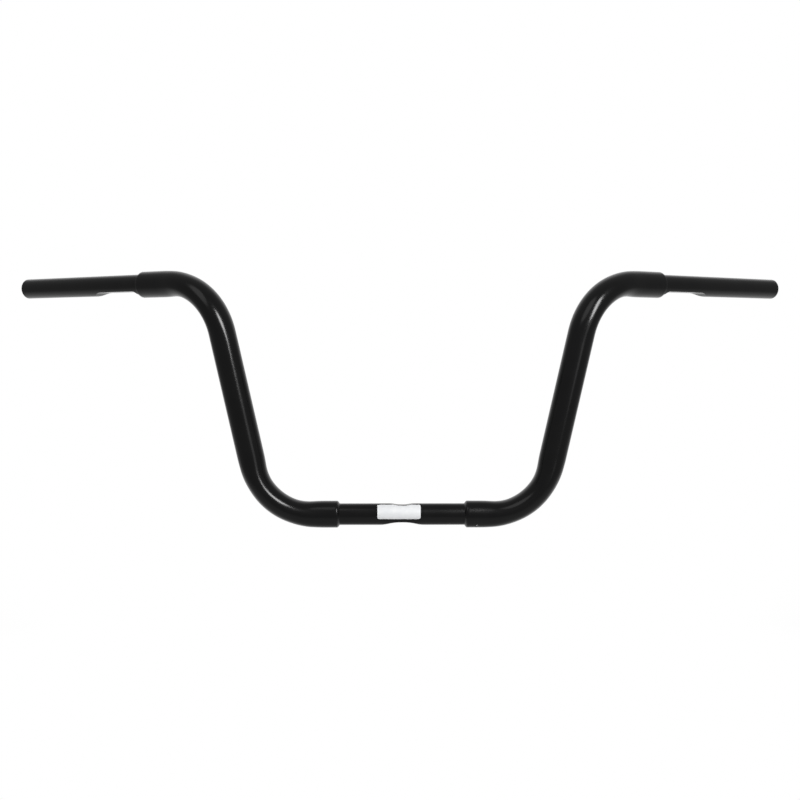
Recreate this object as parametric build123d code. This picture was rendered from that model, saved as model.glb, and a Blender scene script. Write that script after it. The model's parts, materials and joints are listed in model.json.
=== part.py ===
from build123d import *
import math
import os

os.makedirs("parts", exist_ok=True)

# Lengths are millimetres and angles are degrees.
# X runs along the bar to the right grip, Y runs back towards the rider, Z is up.
# The origin is the middle of the centre tube, on its axis.

# Tubes
RISER_TUBE_DIAMETER = 31.75
END_TUBE_DIAMETER = 25.4
END_TUBE_WALL = 3.0
TURNED_DEPTH = 0.5
SLIP_CLEARANCE = 0.1

# Line of the bar, from the middle out to the right grip
CENTRE_LENGTH = 152.4
CENTRE_LEAD = 29.0
BEND_RADIUS = 72.0
RISER_TILT = 12.5
RISER_RUN = 162.0
SWEEP_BACK = 32.0
GRIP_LEAD = 47.0
GRIP_LENGTH = 213.0
CENTRE_PLUG = 24.0
GRIP_PLUG = 38.0
PLUG_END_GAP = 0.5

# Fillet welds at the four ends of the riser tubes
WELD_LEG = 2.7
RIM_LEFT_BARE = 0.3

# Wire dimple under the centre tube, and the dip over it
CENTRE_DIMPLE_LENGTH = 66.0
CENTRE_DIMPLE_FLAT = 4.0
CENTRE_DIMPLE_DEPTH = 4.5
TOP_DIP_LENGTH = 36.0
TOP_DIP_FLAT = 2.0
TOP_DIP_DEPTH = 2.3

# Wire dimple under each grip tube, measured outwards from the weld
GRIP_DIMPLE_DEPTH = 4.5
GRIP_DIMPLE_IN_RAMP = 9.0
GRIP_DIMPLE_FLAT = 54.5
GRIP_DIMPLE_OUT_RAMP = 22.0

# A dimple's ramps start this far clear of the tube
RAMP_CLEARANCE = 0.15

# Open ends of the grip tubes
END_CHAMFER = 0.8
BORE_CHAMFER = 0.5

# Blank label, and the glue under it
LABEL_THICKNESS = 0.05
LABEL_GLUE = 0.02
LABEL_LENGTH = 50.8
LABEL_OFFSET = -3.6
LABEL_BELOW_FRONT = 17.5
LABEL_WRAP = 87.0
LABEL_CORNER = 2.6

# A cutter runs this far past what it cuts
CUT_OVERRUN = 1.0

# Sizes that follow from those
riser_radius = RISER_TUBE_DIAMETER / 2
end_radius = END_TUBE_DIAMETER / 2
bore_radius = end_radius - END_TUBE_WALL
spigot_radius = end_radius - TURNED_DEPTH
socket_radius = spigot_radius + SLIP_CLEARANCE
UP = Vector(0, 0, 1)
DOWN = Vector(0, 0, -1)
OUT = Vector(1, 0, 0)


def rod(origin, axis, length, radius):
    """Solid cylinder that starts at a point and runs along an axis."""
    return extrude(Plane(origin=origin, z_dir=axis) * Circle(radius), length)


# Line of the bar

def bend_pivot(start, along, onward):
    """Axis that a bend from one direction to another turns about."""
    side = along.cross(onward).normalized()
    return Axis(start + side.cross(along) * BEND_RADIUS, side)


def bend_end(start, along, onward):
    """Point where a bend from one direction to another ends."""
    pivot = bend_pivot(start, along, onward)
    return Vertex(*start).rotate(pivot, along.get_angle(onward)).center()


riser_way = Vector(math.sin(math.radians(RISER_TILT)), 0, math.cos(math.radians(RISER_TILT)))
grip_way = Vector(math.cos(math.radians(SWEEP_BACK)), math.sin(math.radians(SWEEP_BACK)), 0)
riser_start = OUT * (CENTRE_LENGTH / 2)
lower_bend_start = riser_start + OUT * CENTRE_LEAD
lower_bend_end = bend_end(lower_bend_start, OUT, riser_way)
upper_bend_start = lower_bend_end + riser_way * RISER_RUN
upper_bend_end = bend_end(upper_bend_start, riser_way, grip_way)
riser_end = upper_bend_end + grip_way * GRIP_LEAD


# Riser tube with its fillet welds, left solid between the two sockets that the plugs close

def bend(start, along, onward):
    """Round bend of a riser tube from one direction to another."""
    section = Plane(origin=start, z_dir=along) * Circle(riser_radius)
    return revolve(section, axis=bend_pivot(start, along, onward), revolution_arc=along.get_angle(onward))


def weld(origin, axis):
    """Fillet weld on the end of a riser tube, down to the tube that is plugged in there."""
    plane = Plane(origin=origin, x_dir=axis, z_dir=axis.cross(UP))
    rim = riser_radius - RIM_LEFT_BARE
    outline = Polyline((0, 0), (0, rim), (WELD_LEG, end_radius), (WELD_LEG, 0), close=True)
    return revolve(plane * make_face(outline), axis=Axis(origin, axis))


def socket(mouth, axis, depth):
    """Blind hole for a plug, measured inwards from a riser tube's end and open through its weld."""
    return rod(mouth - axis * (WELD_LEG + CUT_OVERRUN), axis, WELD_LEG + CUT_OVERRUN + depth, socket_radius)


right_riser_tube = weld(riser_start, OUT * -1)
right_riser_tube += rod(riser_start, OUT, CENTRE_LEAD, riser_radius)
right_riser_tube += bend(lower_bend_start, OUT, riser_way)
right_riser_tube += rod(lower_bend_end, riser_way, RISER_RUN, riser_radius)
right_riser_tube += bend(upper_bend_start, riser_way, grip_way)
right_riser_tube += rod(upper_bend_end, grip_way, GRIP_LEAD, riser_radius)
right_riser_tube += weld(riser_end, grip_way)
right_riser_tube -= socket(riser_start, OUT, CENTRE_PLUG + PLUG_END_GAP)
right_riser_tube -= socket(riser_end, grip_way * -1, GRIP_PLUG + PLUG_END_GAP)


# Dimples pressed in the straight tubes

def eased_ramp(foot, top):
    """Two arcs that rise from one level to another, level at both ends."""
    way = Vector(math.copysign(1, top.X - foot.X), 0)
    middle = (foot + top) / 2
    return [TangentArc(foot, middle, tangent=way), TangentArc(top, middle, tangent=way * -1)]


def press(foot, along, inward, radius, depth, ramps, flat):
    """Tool that presses a flat dimple, with a ramp at each end, into a tube of some radius."""
    level = -radius - RAMP_CLEARANCE
    end = ramps[0] + flat + ramps[1]
    flat_start = Vector(ramps[0], depth - radius)
    flat_end = Vector(ramps[0] + flat, depth - radius)
    outline = eased_ramp(Vector(0, level), flat_start)
    outline.append(Line(flat_start, flat_end))
    outline += eased_ramp(Vector(end, level), flat_end)
    back = level - CUT_OVERRUN
    outline += Polyline((end, level), (end, back), (0, back), (0, level)).edges()
    plane = Plane(origin=foot, x_dir=along, z_dir=along.cross(inward))
    return extrude(plane * make_face(outline), radius + CUT_OVERRUN, both=True)


# Centre tube

seat_half = CENTRE_LENGTH / 2 - WELD_LEG
plug_half = CENTRE_LENGTH / 2 + CENTRE_PLUG
dimple_ramp = (CENTRE_DIMPLE_LENGTH - CENTRE_DIMPLE_FLAT) / 2
dip_ramp = (TOP_DIP_LENGTH - TOP_DIP_FLAT) / 2


def pressed_centre(radius, half_length):
    """Centre tube as a solid of some radius, pressed from under and from over."""
    body = rod(OUT * -half_length, OUT, half_length * 2, radius)
    dimple_start = OUT * (-CENTRE_DIMPLE_LENGTH / 2)
    dip_start = OUT * (-TOP_DIP_LENGTH / 2)
    dimple_ramps = (dimple_ramp, dimple_ramp)
    body -= press(dimple_start, OUT, UP, radius, CENTRE_DIMPLE_DEPTH, dimple_ramps, CENTRE_DIMPLE_FLAT)
    body -= press(dip_start, OUT, DOWN, radius, TOP_DIP_DEPTH, (dip_ramp, dip_ramp), TOP_DIP_FLAT)
    return body


centre_tube = pressed_centre(end_radius, seat_half)
for side in (1, -1):
    centre_tube += rod(OUT * side * seat_half, OUT * side, plug_half - seat_half, spigot_radius)
centre_tube -= pressed_centre(bore_radius, plug_half + CUT_OVERRUN)


# Grip tube

weld_toe = riser_end + grip_way * WELD_LEG
plug_start = riser_end - grip_way * GRIP_PLUG
seat_length = GRIP_LENGTH - WELD_LEG
grip_ramps = (GRIP_DIMPLE_IN_RAMP, GRIP_DIMPLE_OUT_RAMP)


def pressed_grip(start, length, radius):
    """Grip tube as a solid of some radius, pressed from under."""
    body = rod(start, grip_way, length, radius)
    return body - press(weld_toe, grip_way, UP, radius, GRIP_DIMPLE_DEPTH, grip_ramps, GRIP_DIMPLE_FLAT)


def at_mouth(edges):
    """Round edge at the open end of a grip tube."""
    return edges.filter_by(GeomType.CIRCLE).sort_by(Axis((0, 0, 0), grip_way))[-1]


grip_outside = pressed_grip(weld_toe, seat_length, end_radius)
right_grip_tube = chamfer(at_mouth(grip_outside.edges()), END_CHAMFER)
right_grip_tube += rod(plug_start, grip_way, GRIP_PLUG + WELD_LEG, spigot_radius)
bore_length = GRIP_PLUG + GRIP_LENGTH + 2 * CUT_OVERRUN
right_grip_tube -= pressed_grip(plug_start - grip_way * CUT_OVERRUN, bore_length, bore_radius)
mouth = Plane(origin=riser_end + grip_way * GRIP_LENGTH, z_dir=grip_way)
right_grip_tube -= loft([
    mouth.offset(-BORE_CHAMFER) * Circle(bore_radius),
    mouth.offset(BORE_CHAMFER) * Circle(bore_radius + 2 * BORE_CHAMFER),
])


# Blank label

label_inside = end_radius + LABEL_GLUE
label_outside = label_inside + LABEL_THICKNESS
label_start = OUT * (LABEL_OFFSET - LABEL_LENGTH / 2)
label_plane = Plane(origin=label_start, x_dir=(0, -1, 0), z_dir=(0, 0, 1))
label_strip = label_plane * Pos(end_radius, LABEL_LENGTH / 2) * Rectangle(end_radius, LABEL_LENGTH)
label_strip = Rot(LABEL_BELOW_FRONT, 0, 0) * label_strip
label_blank = revolve(label_strip, axis=Axis((0, 0, 0), (-1, 0, 0)), revolution_arc=LABEL_WRAP)
label_corners = label_blank.edges().filter_by(GeomType.LINE).filter_by(lambda e: abs(e.tangent_at(0).X) < 0.5)
label_blank = fillet(label_corners, LABEL_CORNER)
blank_label = label_blank & pressed_centre(label_outside, seat_half)
blank_label -= pressed_centre(label_inside, seat_half)


# One file for each piece
pieces = {
    "centre_tube": centre_tube,
    "right_riser_tube": right_riser_tube,
    "left_riser_tube": mirror(right_riser_tube, about=Plane.YZ),
    "right_grip_tube": right_grip_tube,
    "left_grip_tube": mirror(right_grip_tube, about=Plane.YZ),
    "blank_label": blank_label,
}
for name, piece in pieces.items():
    export_step(piece, f"parts/{name}.step")
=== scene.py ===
import json
import math

import bmesh
import bpy
from mathutils import Matrix, Vector


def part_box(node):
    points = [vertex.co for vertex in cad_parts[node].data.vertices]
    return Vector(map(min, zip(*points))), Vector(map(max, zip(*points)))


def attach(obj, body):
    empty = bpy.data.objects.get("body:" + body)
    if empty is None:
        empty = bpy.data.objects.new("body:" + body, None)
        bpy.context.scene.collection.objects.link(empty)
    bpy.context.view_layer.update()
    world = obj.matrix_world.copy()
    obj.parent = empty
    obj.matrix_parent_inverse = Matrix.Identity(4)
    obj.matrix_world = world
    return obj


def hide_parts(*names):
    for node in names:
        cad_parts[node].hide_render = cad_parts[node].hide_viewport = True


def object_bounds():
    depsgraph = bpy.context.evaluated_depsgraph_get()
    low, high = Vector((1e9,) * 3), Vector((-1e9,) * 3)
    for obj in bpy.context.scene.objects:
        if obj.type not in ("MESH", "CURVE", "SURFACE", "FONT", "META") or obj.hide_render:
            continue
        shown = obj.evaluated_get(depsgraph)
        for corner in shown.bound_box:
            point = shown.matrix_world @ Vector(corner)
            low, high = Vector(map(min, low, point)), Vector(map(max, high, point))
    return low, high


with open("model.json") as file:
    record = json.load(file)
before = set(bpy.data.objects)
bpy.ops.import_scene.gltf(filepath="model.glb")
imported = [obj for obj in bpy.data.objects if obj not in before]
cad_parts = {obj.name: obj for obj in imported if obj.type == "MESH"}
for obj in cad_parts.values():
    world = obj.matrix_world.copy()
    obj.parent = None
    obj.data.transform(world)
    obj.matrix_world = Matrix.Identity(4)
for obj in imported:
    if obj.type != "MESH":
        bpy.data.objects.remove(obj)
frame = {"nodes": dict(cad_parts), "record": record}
cad_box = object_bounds()

# Lengths are metres, in the frame of the solids: X to the right grip, Y back to the rider, Z up.

# Line of a riser tube, as the solids have it
CENTRE_LEAD = 0.029
BEND_RADIUS = 0.072
RISER_TILT = math.radians(12.5)
RISER_RUN = 0.162
GRIP_LEAD = 0.047

# Sockets and fillet welds at a riser tube's ends
SOCKET_RADIUS = 0.0123
CENTRE_SOCKET_DEPTH = 0.0245
GRIP_SOCKET_DEPTH = 0.0385
WELD_LEG = 0.0027
WELD_RIM_BARE = 0.0003
WELD_SWELL = 0.00018
WELD_RIPPLE = 0.00012
WELD_RIPPLES = 32
EDGE_ROUND = 0.00025
EDGE_ROUND_MIDDLE = 0.3

# Rings between a weld's toe and its top, as shares of the weld's leg, rise, swell and ripple
WELD_RINGS = (
    (0.25, 0.125, 0.75, 0.5),
    (0.5, 0.5, 1, 1),
    (0.75, 0.75, 1, 1),
)

# A bend flattens its tube in the plane of the bend and widens it across
BEND_FLATTENING = 0.11
FLATTENING_RUN_OUT = 0.014
FLATTENING_EASE = 0.042

# Fineness of the tubes
ROUND_STEPS = 128
RING_STEP = 0.0025
SHARP_ANGLE = math.radians(25)

# Black coat
COAT_DARK = (0.0014, 0.0014, 0.0015, 1)
COAT_PALE = (0.0024, 0.0024, 0.0025, 1)
COAT_TONE_SPREAD = (0.3, 0.75)
COAT_CLOUD_SCALE = 45
COAT_CLOUD_DETAIL = 4
COAT_ROUGHNESS = (0.16, 0.22)
COAT_SPECULAR = 0.27
PEEL_SCALE = 520
PEEL_DETAIL = 2
PEEL_STRENGTH = 0.012
PEEL_DEPTH = 0.0001

# Small chip in the coat, under the right riser tube near its weld
CHIP_PLACE = Vector((0.0881, -0.0106, -0.0118))
CHIP_RADIUS = 0.0014
CHIP_BARE_SHARE = 0.6
CHIP_METAL = (0.42, 0.42, 0.43, 1)

# Label film; its colour is darker in the crease bump's hollows, as painted shade
FOIL_CREASE_SHADE = (0.76, 0.77, 0.79, 1)
FOIL_PALE = (0.82, 0.83, 0.84, 1)
FOIL_CREASE_SHADE_SPREAD = (0.3, 0.7)
FOIL_ROUGHNESS = 0.38
FOIL_SPECULAR = 0.4
CREASE_SCALE = 160
CREASE_DETAIL = 3
CREASE_STRENGTH = 0.15
CREASE_DEPTH = 0.0003

# Camera, found by setting the solids' outline over the photograph
CAMERA_AIM = Vector((-0.0024, 0, 0.1354))
CAMERA_DISTANCE = 1.2
CAMERA_ELEVATION = math.radians(3.57)
CAMERA_AZIMUTH = math.radians(-0.4)
CAMERA_LENS_MM = 45.9
CAMERA_SENSOR_MM = 36

# Surround, pale grey to the front and white to the back
# Its two limits are how far back a direction points, from -1 to 1
AMBIENT_LIGHT = 0.14
SURROUND_GREY = 0.37
SURROUND_GREY_TO = 0.38
SURROUND_WHITE_FROM = 0.87

# Floor
FLOOR_DROP = 0.9
FLOOR_RADIUS = 60
FLOOR_SEGMENTS = 96
FLOOR_COLOUR = (0.9, 0.9, 0.9, 1)
FLOOR_ROUGHNESS = 0.9

# Distances over the floor count X a little more, and leave out the height
FLOOR_NARROWING = Vector((1.2, 1, 0))

# Painted light: the floor's glow goes from pale grey under the bar to white behind it, along Y
FLOOR_GLOW_UNDER_BAR = 0.6
FLOOR_GLOW_UNDER_BAR_TO = 0
FULL_FLOOR_GLOW_FROM = 1.15

# This painted white glow gives way to the surround over these distances from its middle
FLOOR_GLOW_MIDDLE = Vector((0, 1.4, 0))
FLOOR_GLOW_REACH = 2.0
FLOOR_GLOW_FADE_REACH = 7.0

# Share of the floor's look that takes the shadow under the bar, and how far out that ends
SHADOW_SHARE = 0.6
SHADOW_REACH = 1.15

# Lamps, round the middle of the bar; azimuth and elevation are degrees
BAR_MIDDLE = Vector((0, 0, 0.14))
LAMPS = {
    "key_softbox": dict(
        azimuth=27, elevation=30, distance=1.25, width=0.35, height=0.82, radiance=23.5),
    "fill_softbox": dict(
        azimuth=-33, elevation=50, distance=1.8, width=0.95, height=1.25, radiance=1.2),
    "low_panel": dict(
        azimuth=32, elevation=3, distance=1.8, width=0.56, height=0.68, radiance=1.1),
}

# Sizes read from the frame
riser_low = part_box("right_riser_tube")[0]
mounts = {mount["name"]: mount for mount in frame["record"]["mounts"]}
grip_seat = mounts["right_grip_seat"]
riser_radius = -riser_low.z
end_radius = grip_seat["dims"]["r_mm"] / 1000
grip_way = Vector(grip_seat["axis"]).normalized()
out_way = Vector((1, 0, 0))
riser_way = Vector((math.sin(RISER_TILT), 0, math.cos(RISER_TILT)))
riser_start = Vector((riser_low.x + WELD_LEG, 0, 0))


# Riser tubes with their welds; a ring is its place, turning, radius and ripple

def ease(share):
    """Smooth rise from 0 to 1."""
    share = min(max(share, 0), 1)
    return share * share * (3 - 2 * share)


def end_rings(place, turn, socket_depth):
    """Rings from the floor of a socket, out over the weld, to the riser tube's rim."""
    inward = turn @ Vector((0, 0, 1))
    top = riser_radius - WELD_RIM_BARE
    edge_middle = EDGE_ROUND * EDGE_ROUND_MIDDLE
    profile = [
        (socket_depth, SOCKET_RADIUS, 0),
        (-WELD_LEG, SOCKET_RADIUS, 0),
        (-WELD_LEG, end_radius, 0),
    ]
    for leg, rise, swell, ripple in WELD_RINGS:
        radius = end_radius + (top - end_radius) * rise + WELD_SWELL * swell
        profile.append((WELD_LEG * (leg - 1), radius, WELD_RIPPLE * ripple))
    profile += [
        (0, top, 0),
        (0, riser_radius - EDGE_ROUND, 0),
        (edge_middle, riser_radius - edge_middle, 0),
        (EDGE_ROUND, riser_radius, 0),
    ]
    return [(place + inward * along, turn, radius, ripple) for along, radius, ripple in profile]


def bend_rings(start, turn, onward):
    """Rings round a flattened bend and a little way into the straight runs.

    Also gives the place where the bend ends, and the turning there.
    """
    along = turn @ Vector((0, 0, 1))
    side = along.cross(onward).normalized()
    pivot = start + side.cross(along) * BEND_RADIUS
    bend_angle = along.angle(onward)
    bend_length = bend_angle * BEND_RADIUS
    whole_length = bend_length + 2 * FLATTENING_RUN_OUT
    steps = round(whole_length / RING_STEP)
    rings = []
    for step in range(steps + 1):
        gone = whole_length * step / steps
        arc = min(max(gone - FLATTENING_RUN_OUT, 0), bend_length)
        bent = Matrix.Rotation(arc / BEND_RADIUS, 3, side)
        straight = bent @ along * (gone - FLATTENING_RUN_OUT - arc)
        place = pivot + bent @ (start - pivot) + straight
        nearest_end = min(gone, whole_length - gone)
        amount = BEND_FLATTENING * ease(nearest_end / FLATTENING_EASE)
        inward = bent @ side.cross(along)
        flattened = Matrix.Scale(1 + amount, 3, side) @ Matrix.Scale(1 - amount, 3, inward)
        rings.append((place, flattened @ bent @ turn, riser_radius, 0))
    end_turn = Matrix.Rotation(bend_angle, 3, side)
    return rings, pivot + end_turn @ (start - pivot), end_turn @ turn


def run_rings(start, turn, length):
    """Rings along a straight run, without the ones at its ends."""
    along = turn @ Vector((0, 0, 1))
    steps = round(length / RING_STEP)
    places = [start + along * length * step / steps for step in range(1, steps)]
    return [(place, turn, riser_radius, 0) for place in places]


def riser_rings():
    """Rings of the right riser tube, from the floor of one socket to the floor of the other."""
    run_out = FLATTENING_RUN_OUT
    turn = Vector((0, 0, 1)).rotation_difference(out_way).to_matrix()
    rings = end_rings(riser_start, turn, CENTRE_SOCKET_DEPTH)
    rings += run_rings(riser_start, turn, CENTRE_LEAD - run_out)
    lower_bend, place, turn = bend_rings(riser_start + out_way * CENTRE_LEAD, turn, riser_way)
    rings += lower_bend
    rings += run_rings(place + riser_way * run_out, turn, RISER_RUN - 2 * run_out)
    upper_bend, place, turn = bend_rings(place + riser_way * RISER_RUN, turn, grip_way)
    rings += upper_bend
    rings += run_rings(place + grip_way * run_out, turn, GRIP_LEAD - run_out)
    riser_end = place + grip_way * GRIP_LEAD
    back = turn @ Matrix.Rotation(math.pi, 3, "X")
    # These rings keep the run's turning, so that the tube has no twist there
    for place, _, radius, ripple in reversed(end_rings(riser_end, back, GRIP_SOCKET_DEPTH)):
        rings.append((place, turn, radius, ripple))
    return rings


def riser_tube(name, rings, mirrored):
    """Smooth riser tube through its rings, for the right or the left."""
    mesh = bmesh.new()
    loops = []
    for place, turn, radius, ripple in rings:
        matrix = Matrix.Translation(place) @ turn.to_4x4()
        made = bmesh.ops.create_circle(mesh, segments=ROUND_STEPS, radius=radius, matrix=matrix)
        for step, vert in enumerate(made["verts"]):
            wave = math.cos(2 * math.pi * WELD_RIPPLES * step / ROUND_STEPS)
            vert.co += (vert.co - place).normalized() * ripple * wave
        loops.append(list({edge for vert in made["verts"] for edge in vert.link_edges}))
    for near, far in zip(loops, loops[1:]):
        bmesh.ops.bridge_loops(mesh, edges=near + far)
    for loop in (loops[0], loops[-1]):
        bmesh.ops.edgeloop_fill(mesh, edges=loop)
    if mirrored:
        bmesh.ops.scale(mesh, vec=(-1, 1, 1), verts=mesh.verts)
    bmesh.ops.recalc_face_normals(mesh, faces=mesh.faces)
    for face in mesh.faces:
        face.smooth = True
    data = bpy.data.meshes.new(name)
    mesh.to_mesh(data)
    mesh.free()
    data.set_sharp_from_angle(angle=SHARP_ANGLE)
    tube = bpy.data.objects.new(name, data)
    bpy.context.scene.collection.objects.link(tube)
    return tube


# Nodes, each added to a tree and given back as its output

def object_place(tree):
    """Place on the object."""
    return tree.nodes.new("ShaderNodeTexCoord").outputs["Object"]


def noise(tree, place, scale, detail):
    """Noise over the object."""
    node = tree.nodes.new("ShaderNodeTexNoise")
    node.inputs["Scale"].default_value = scale
    node.inputs["Detail"].default_value = detail
    tree.links.new(place, node.inputs["Vector"])
    return node.outputs["Fac"]


def tone(tree, value, spread, dark, pale):
    """Colour that goes from dark to pale as a value goes over a spread."""
    node = tree.nodes.new("ShaderNodeValToRGB")
    low, high = node.color_ramp.elements
    low.position, high.position = spread
    low.color, high.color = dark, pale
    tree.links.new(value, node.inputs["Fac"])
    return node.outputs["Color"]


def bump(tree, height, strength, depth):
    """Normal of a surface with small bumps."""
    node = tree.nodes.new("ShaderNodeBump")
    node.inputs["Strength"].default_value = strength
    node.inputs["Distance"].default_value = depth
    tree.links.new(height, node.inputs["Height"])
    return node.outputs["Normal"]


def carried(tree, value, span, onto, way="SMOOTHSTEP"):
    """Value carried from one span onto another."""
    node = tree.nodes.new("ShaderNodeMapRange")
    node.interpolation_type = way
    for name, number in zip(("From Min", "From Max", "To Min", "To Max"), (*span, *onto)):
        node.inputs[name].default_value = number
    tree.links.new(value, node.inputs["Value"])
    return node.outputs["Result"]


def combined(tree, operation, first, second):
    """Sum, product or larger of two values, held between 0 and 1."""
    node = tree.nodes.new("ShaderNodeMath")
    node.operation = operation
    node.use_clamp = True
    tree.links.new(first, node.inputs[0])
    tree.links.new(second, node.inputs[1])
    return node.outputs["Value"]


def vector_node(tree, operation, vector, constant=(0, 0, 0)):
    """Node that works on a vector and, where the operation takes one, a constant vector."""
    node = tree.nodes.new("ShaderNodeVectorMath")
    node.operation = operation
    node.inputs[1].default_value = constant
    tree.links.new(vector, node.inputs[0])
    return node


def backwards(tree, vector):
    """How far a vector points backwards."""
    node = tree.nodes.new("ShaderNodeSeparateXYZ")
    tree.links.new(vector, node.inputs["Vector"])
    return node.outputs["Y"]


def seen_directly(tree):
    """1 for camera, glossy and transmission rays, and 0 for the light that bounces."""
    path = tree.nodes.new("ShaderNodeLightPath").outputs
    mirrored = combined(tree, "ADD", path["Is Camera Ray"], path["Is Glossy Ray"])
    return combined(tree, "ADD", mirrored, path["Is Transmission Ray"])


def surround_level(tree, backward):
    """Brightness of the surround, from how far a direction points backwards."""
    span = (SURROUND_GREY_TO, SURROUND_WHITE_FROM)
    return carried(tree, backward, span, (SURROUND_GREY, 1))


# Materials

def new_material(name):
    """Material with its node tree and its shader."""
    material = bpy.data.materials.new(name)
    material.use_nodes = True
    tree = material.node_tree
    return material, tree, tree.nodes["Principled BSDF"]


def black_coat():
    """Satin black coat on steel, a little uneven, with one small chip down to the metal."""
    material, tree, shader = new_material("black_coat")
    place = object_place(tree)
    cloud = noise(tree, place, COAT_CLOUD_SCALE, COAT_CLOUD_DETAIL)
    peel = noise(tree, place, PEEL_SCALE, PEEL_DETAIL)
    off_chip = vector_node(tree, "DISTANCE", place, CHIP_PLACE).outputs["Value"]
    chip_edge = (CHIP_RADIUS, CHIP_RADIUS * CHIP_BARE_SHARE)
    colour = tree.nodes.new("ShaderNodeMix")
    colour.data_type = "RGBA"
    colour.inputs["B"].default_value = CHIP_METAL
    tree.links.new(carried(tree, off_chip, chip_edge, (0, 1), "LINEAR"), colour.inputs["Factor"])
    tree.links.new(tone(tree, cloud, COAT_TONE_SPREAD, COAT_DARK, COAT_PALE), colour.inputs["A"])
    tree.links.new(colour.outputs["Result"], shader.inputs["Base Color"])
    roughness = carried(tree, cloud, (0, 1), COAT_ROUGHNESS, "LINEAR")
    tree.links.new(roughness, shader.inputs["Roughness"])
    tree.links.new(bump(tree, peel, PEEL_STRENGTH, PEEL_DEPTH), shader.inputs["Normal"])
    shader.inputs["Specular IOR Level"].default_value = COAT_SPECULAR
    return material


def label_foil():
    """Pale silver film, faintly creased, left blank, with painted shade in the crease hollows.
    """
    material, tree, shader = new_material("label_foil")
    crease = noise(tree, object_place(tree), CREASE_SCALE, CREASE_DETAIL)
    # Painted shade: the film darkens where the crease bump dips
    colour = tone(tree, crease, FOIL_CREASE_SHADE_SPREAD, FOIL_CREASE_SHADE, FOIL_PALE)
    tree.links.new(colour, shader.inputs["Base Color"])
    tree.links.new(bump(tree, crease, CREASE_STRENGTH, CREASE_DEPTH), shader.inputs["Normal"])
    shader.inputs["Roughness"].default_value = FOIL_ROUGHNESS
    shader.inputs["Specular IOR Level"].default_value = FOIL_SPECULAR
    return material


def studio_floor_painted_glow():
    """Matt floor with a painted glow, pale grey under the bar and white behind it.

    Far off it runs out into the surround, and near the bar it still takes a shadow.
    """
    material, tree, shader = new_material("studio_floor_painted_glow")
    shader.inputs["Base Color"].default_value = FLOOR_COLOUR
    shader.inputs["Roughness"].default_value = FLOOR_ROUGHNESS
    shader.inputs["Specular IOR Level"].default_value = 0
    place = object_place(tree)
    narrowed = vector_node(tree, "MULTIPLY", place, FLOOR_NARROWING).outputs["Vector"]

    # Painted light: glow of the white patch on the floor, and of the surround beyond it
    off_middle = vector_node(tree, "DISTANCE", narrowed, FLOOR_GLOW_MIDDLE).outputs["Value"]
    near = carried(tree, off_middle, (FLOOR_GLOW_REACH, FLOOR_GLOW_FADE_REACH), (1, 0))
    span = (FLOOR_GLOW_UNDER_BAR_TO, FULL_FLOOR_GLOW_FROM)
    behind = carried(tree, backwards(tree, place), span, (FLOOR_GLOW_UNDER_BAR, 1))
    patch = combined(tree, "MULTIPLY", near, behind)
    direction = vector_node(tree, "NORMALIZE", place).outputs["Vector"]
    beyond = surround_level(tree, backwards(tree, direction))
    glow = tree.nodes.new("ShaderNodeEmission")
    tree.links.new(combined(tree, "MAXIMUM", patch, beyond), glow.inputs["Strength"])

    # Share of that painted glow, which leaves room for the shadow
    away = vector_node(tree, "LENGTH", narrowed).outputs["Value"]
    bright = carried(tree, away, (0, SHADOW_REACH), (1 - SHADOW_SHARE, 1))
    mix = tree.nodes.new("ShaderNodeMixShader")
    tree.links.new(combined(tree, "MULTIPLY", seen_directly(tree), bright), mix.inputs["Fac"])
    tree.links.new(shader.outputs["BSDF"], mix.inputs[1])
    tree.links.new(glow.outputs["Emission"], mix.inputs[2])
    tree.links.new(mix.outputs["Shader"], tree.nodes["Material Output"].inputs["Surface"])
    return material


# Studio

def studio_surround():
    """Surround that is white behind the bar and pale grey at the front, where the lamps stand.

    It lights the bar at a lower level than it shows.
    """
    world = bpy.data.worlds.new("studio_surround")
    bpy.context.scene.world = world
    world.use_nodes = True
    tree = world.node_tree
    background = tree.nodes["Background"]
    direction = tree.nodes.new("ShaderNodeTexCoord").outputs["Generated"]
    level = tree.nodes.new("ShaderNodeMix")
    level.inputs["A"].default_value = AMBIENT_LIGHT
    tree.links.new(seen_directly(tree), level.inputs["Factor"])
    tree.links.new(surround_level(tree, backwards(tree, direction)), level.inputs["B"])
    tree.links.new(level.outputs["Result"], background.inputs["Strength"])
    background.inputs["Color"].default_value = (1, 1, 1, 1)


def facing(place, aim):
    """Matrix of a lamp or camera at a place, looking at an aim."""
    turn = (aim - place).to_track_quat("-Z", "Y")
    return Matrix.Translation(place) @ turn.to_matrix().to_4x4()


def seen_from(azimuth, elevation):
    """Direction out from the bar; azimuth is 0 at the front and grows to the right."""
    level = math.cos(elevation)
    return Vector((math.sin(azimuth) * level, -math.cos(azimuth) * level, math.sin(elevation)))


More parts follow.
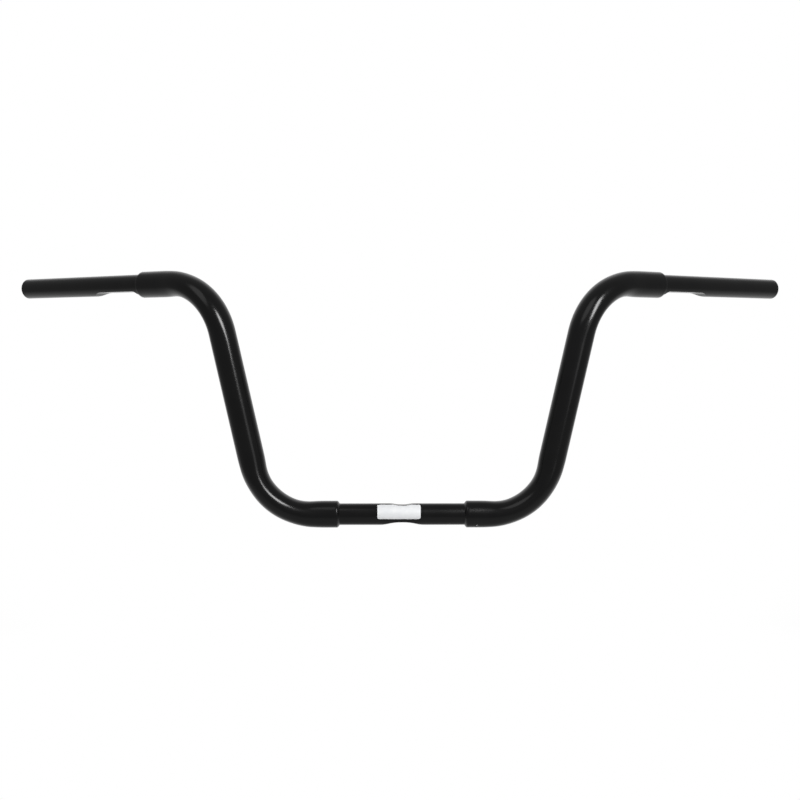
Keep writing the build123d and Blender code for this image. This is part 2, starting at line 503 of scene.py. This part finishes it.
def softbox(name, azimuth, elevation, distance, width, height, radiance):
    """Soft oval lamp that faces the middle of the bar."""
    lamp = bpy.data.lights.new(name, "AREA")
    lamp.shape = "ELLIPSE"
    lamp.size = width
    lamp.size_y = height
    area = math.pi / 4 * width * height
    lamp.energy = radiance * math.pi * area
    box = bpy.data.objects.new(name, lamp)
    outward = seen_from(math.radians(azimuth), math.radians(elevation))
    box.matrix_world = facing(BAR_MIDDLE + outward * distance, BAR_MIDDLE)
    bpy.context.scene.collection.objects.link(box)


def studio_floor():
    """Round floor below the bar."""
    mesh = bmesh.new()
    matrix = Matrix.Translation((0, 0, cad_box[0][2] - FLOOR_DROP))
    bmesh.ops.create_circle(
        mesh, cap_ends=True, segments=FLOOR_SEGMENTS, radius=FLOOR_RADIUS, matrix=matrix)
    data = bpy.data.meshes.new("studio_floor")
    mesh.to_mesh(data)
    mesh.free()
    floor = bpy.data.objects.new("studio_floor", data)
    bpy.context.scene.collection.objects.link(floor)
    floor.data.materials.append(studio_floor_painted_glow())


def photo_camera():
    """Camera at the photograph's angle."""
    lens = bpy.data.cameras.new("photo_camera")
    lens.lens = CAMERA_LENS_MM
    lens.sensor_width = CAMERA_SENSOR_MM
    camera = bpy.data.objects.new("photo_camera", lens)
    place = CAMERA_AIM + seen_from(CAMERA_AZIMUTH, CAMERA_ELEVATION) * CAMERA_DISTANCE
    camera.matrix_world = facing(place, CAMERA_AIM)
    bpy.context.scene.collection.objects.link(camera)
    bpy.context.scene.camera = camera


# Bar
coat = black_coat()
foil = label_foil()
rings = riser_rings()
for side in ("right", "left"):
    tube = riser_tube(f"{side}_riser", rings, side == "left")
    tube.data.materials.append(coat)
    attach(tube, "root")
    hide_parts(f"{side}_riser_tube")
for node in ("centre_tube", "right_grip_tube", "left_grip_tube"):
    frame["nodes"][node].data.materials.clear()
    frame["nodes"][node].data.materials.append(coat)
frame["nodes"]["blank_label"].data.materials.clear()
frame["nodes"]["blank_label"].data.materials.append(foil)

# Studio
studio_surround()
studio_floor()
photo_camera()
for name, settings in LAMPS.items():
    softbox(name, **settings)
bpy.context.scene.view_settings.view_transform = "Standard"
